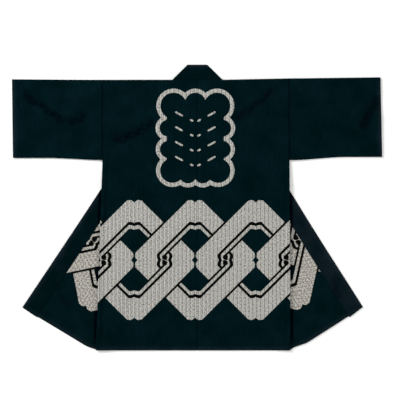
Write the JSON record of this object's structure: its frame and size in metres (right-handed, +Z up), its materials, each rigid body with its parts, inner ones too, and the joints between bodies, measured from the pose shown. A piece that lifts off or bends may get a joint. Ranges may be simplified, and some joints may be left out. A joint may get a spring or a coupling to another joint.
{
  "type": "happi coat",
  "caption": "Short indigo cotton coat with straight sleeves and a collar band, laid flat with its back up and its open fronts folded out beside the hem.",
  "frame": {"origin": "on the surface that the coat lies on, under the middle of the coat's bounding box", "axes": "+X to the right of the lying coat, from cuff to cuff; +Y from the hem towards the collar; +Z up, out of the coat's back"},
  "size_m": [1.2946, 0.9991, 0.0051],
  "materials": {
    "indigo_cotton": "matt plain weave, dyed nearly black, with a pale resist-dyed pattern",
    "collar_cotton": "matt plain weave, doubled and pressed"
  },
  "bodies": {
    "root": {"body_left": "indigo_cotton", "body_right": "indigo_cotton", "sleeve_left": "indigo_cotton", "sleeve_right": "indigo_cotton", "collar_left": "collar_cotton", "collar_right": "collar_cotton", "collar_neck": "collar_cotton"}
  },
  "joints": []
}
